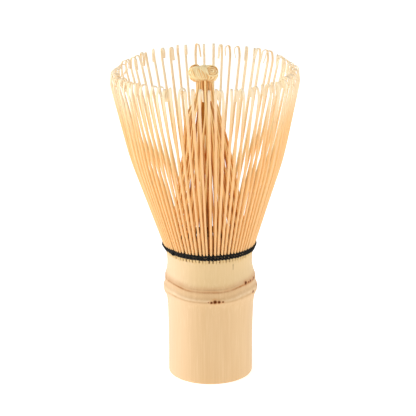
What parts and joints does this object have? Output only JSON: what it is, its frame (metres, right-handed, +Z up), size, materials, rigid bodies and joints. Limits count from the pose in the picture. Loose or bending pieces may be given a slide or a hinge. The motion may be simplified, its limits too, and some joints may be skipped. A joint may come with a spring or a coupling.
{
  "type": "bamboo tea whisk",
  "caption": "Tea whisk split from one bamboo stem: hollow handle with a node ridge, flared springy crown of curled tines, closed inner cone and a dark woven thread.",
  "frame": {"origin": "middle of the handle's cut base, on the plane that it stands on", "axes": "+Z up along the handle towards the tips; +X to the right and -Y towards the viewer, along which the wound bundle of inner ends lies side to side in X"},
  "size_m": [0.0614, 0.0614, 0.105],
  "materials": {
    "bamboo_culm": "smooth dry bamboo skin, satin, with fine fibres along the stem",
    "bamboo_outer_tine": "freshly split bamboo, satin",
    "bamboo_inner_tine": "freshly split bamboo, matt",
    "bamboo_tip": "thin shaved bamboo, pale and slightly translucent",
    "black_thread": "matt twisted cotton thread"
  },
  "bodies": {
    "whisk_body": {"culm_handle": "bamboo_culm", "inner_tines_01": "bamboo_inner_tine", "inner_tines_02": "bamboo_inner_tine", "inner_tines_03": "bamboo_inner_tine", "inner_tines_04": "bamboo_inner_tine", "inner_tines_05": "bamboo_inner_tine", "inner_tines_06": "bamboo_inner_tine", "inner_tines_07": "bamboo_inner_tine", "inner_tines_08": "bamboo_inner_tine", "inner_tines_09": "bamboo_inner_tine", "inner_tines_10": "bamboo_inner_tine", "inner_tines_11": "bamboo_inner_tine", "inner_tines_12": "bamboo_inner_tine", "inner_tines_13": "bamboo_inner_tine", "inner_tines_14": "bamboo_inner_tine", "inner_tines_15": "bamboo_inner_tine", "inner_tines_16": "bamboo_inner_tine", "inner_tip_bundle": "bamboo_tip", "binding_thread_lower": "black_thread", "binding_thread_upper": "black_thread"},
    "outer_comb_01": {"outer_tines_01": "bamboo_outer_tine"},
    "outer_comb_02": {"outer_tines_02": "bamboo_outer_tine"},
    "outer_comb_03": {"outer_tines_03": "bamboo_outer_tine"},
    "outer_comb_04": {"outer_tines_04": "bamboo_outer_tine"},
    "outer_comb_05": {"outer_tines_05": "bamboo_outer_tine"},
    "outer_comb_06": {"outer_tines_06": "bamboo_outer_tine"},
    "outer_comb_07": {"outer_tines_07": "bamboo_outer_tine"},
    "outer_comb_08": {"outer_tines_08": "bamboo_outer_tine"},
    "outer_comb_09": {"outer_tines_09": "bamboo_outer_tine"},
    "outer_comb_10": {"outer_tines_10": "bamboo_outer_tine"},
    "outer_comb_11": {"outer_tines_11": "bamboo_outer_tine"},
    "outer_comb_12": {"outer_tines_12": "bamboo_outer_tine"},
    "outer_comb_13": {"outer_tines_13": "bamboo_outer_tine"},
    "outer_comb_14": {"outer_tines_14": "bamboo_outer_tine"},
    "outer_comb_15": {"outer_tines_15": "bamboo_outer_tine"},
    "outer_comb_16": {"outer_tines_16": "bamboo_outer_tine"}
  },
  "joints": [
    {"name": "outer_comb_01_flex", "type": "hinge", "parent": "whisk_body", "child": "outer_comb_01", "pos_m": [0.01421, 0.00283, 0.04455], "axis": [-0.1951, 0.9808, 0], "range_deg": [-3, 5], "stiffness_Nm_per_rad": 0.03},
    {"name": "outer_comb_02_flex", "type": "hinge", "parent": "whisk_body", "child": "outer_comb_02", "pos_m": [0.01204, 0.00805, 0.04455], "axis": [-0.5556, 0.8315, 0], "range_deg": [-3, 5], "stiffness_Nm_per_rad": 0.03},
    {"name": "outer_comb_03_flex", "type": "hinge", "parent": "whisk_body", "child": "outer_comb_03", "pos_m": [0.00805, 0.01204, 0.04455], "axis": [-0.8315, 0.5556, 0], "range_deg": [-3, 5], "stiffness_Nm_per_rad": 0.03},
    {"name": "outer_comb_04_flex", "type": "hinge", "parent": "whisk_body", "child": "outer_comb_04", "pos_m": [0.00283, 0.01421, 0.04455], "axis": [-0.9808, 0.1951, 0], "range_deg": [-3, 5], "stiffness_Nm_per_rad": 0.03},
    {"name": "outer_comb_05_flex", "type": "hinge", "parent": "whisk_body", "child": "outer_comb_05", "pos_m": [-0.00283, 0.01421, 0.04455], "axis": [-0.9808, -0.1951, 0], "range_deg": [-3, 5], "stiffness_Nm_per_rad": 0.03},
    {"name": "outer_comb_06_flex", "type": "hinge", "parent": "whisk_body", "child": "outer_comb_06", "pos_m": [-0.00805, 0.01204, 0.04455], "axis": [-0.8315, -0.5556, 0], "range_deg": [-3, 5], "stiffness_Nm_per_rad": 0.03},
    {"name": "outer_comb_07_flex", "type": "hinge", "parent": "whisk_body", "child": "outer_comb_07", "pos_m": [-0.01204, 0.00805, 0.04455], "axis": [-0.5556, -0.8315, 0], "range_deg": [-3, 5], "stiffness_Nm_per_rad": 0.03},
    {"name": "outer_comb_08_flex", "type": "hinge", "parent": "whisk_body", "child": "outer_comb_08", "pos_m": [-0.01421, 0.00283, 0.04455], "axis": [-0.1951, -0.9808, 0], "range_deg": [-3, 5], "stiffness_Nm_per_rad": 0.03},
    {"name": "outer_comb_09_flex", "type": "hinge", "parent": "whisk_body", "child": "outer_comb_09", "pos_m": [-0.01421, -0.00283, 0.04455], "axis": [0.1951, -0.9808, 0], "range_deg": [-3, 5], "stiffness_Nm_per_rad": 0.03},
    {"name": "outer_comb_10_flex", "type": "hinge", "parent": "whisk_body", "child": "outer_comb_10", "pos_m": [-0.01204, -0.00805, 0.04455], "axis": [0.5556, -0.8315, 0], "range_deg": [-3, 5], "stiffness_Nm_per_rad": 0.03},
    {"name": "outer_comb_11_flex", "type": "hinge", "parent": "whisk_body", "child": "outer_comb_11", "pos_m": [-0.00805, -0.01204, 0.04455], "axis": [0.8315, -0.5556, 0], "range_deg": [-3, 5], "stiffness_Nm_per_rad": 0.03},
    {"name": "outer_comb_12_flex", "type": "hinge", "parent": "whisk_body", "child": "outer_comb_12", "pos_m": [-0.00283, -0.01421, 0.04455], "axis": [0.9808, -0.1951, 0], "range_deg": [-3, 5], "stiffness_Nm_per_rad": 0.03},
    {"name": "outer_comb_13_flex", "type": "hinge", "parent": "whisk_body", "child": "outer_comb_13", "pos_m": [0.00283, -0.01421, 0.04455], "axis": [0.9808, 0.1951, 0], "range_deg": [-3, 5], "stiffness_Nm_per_rad": 0.03},
    {"name": "outer_comb_14_flex", "type": "hinge", "parent": "whisk_body", "child": "outer_comb_14", "pos_m": [0.00805, -0.01204, 0.04455], "axis": [0.8315, 0.5556, 0], "range_deg": [-3, 5], "stiffness_Nm_per_rad": 0.03},
    {"name": "outer_comb_15_flex", "type": "hinge", "parent": "whisk_body", "child": "outer_comb_15", "pos_m": [0.01204, -0.00805, 0.04455], "axis": [0.5556, 0.8315, 0], "range_deg": [-3, 5], "stiffness_Nm_per_rad": 0.03},
    {"name": "outer_comb_16_flex", "type": "hinge", "parent": "whisk_body", "child": "outer_comb_16", "pos_m": [0.01421, -0.00283, 0.04455], "axis": [0.1951, 0.9808, 0], "range_deg": [-3, 5], "stiffness_Nm_per_rad": 0.03}
  ]
}
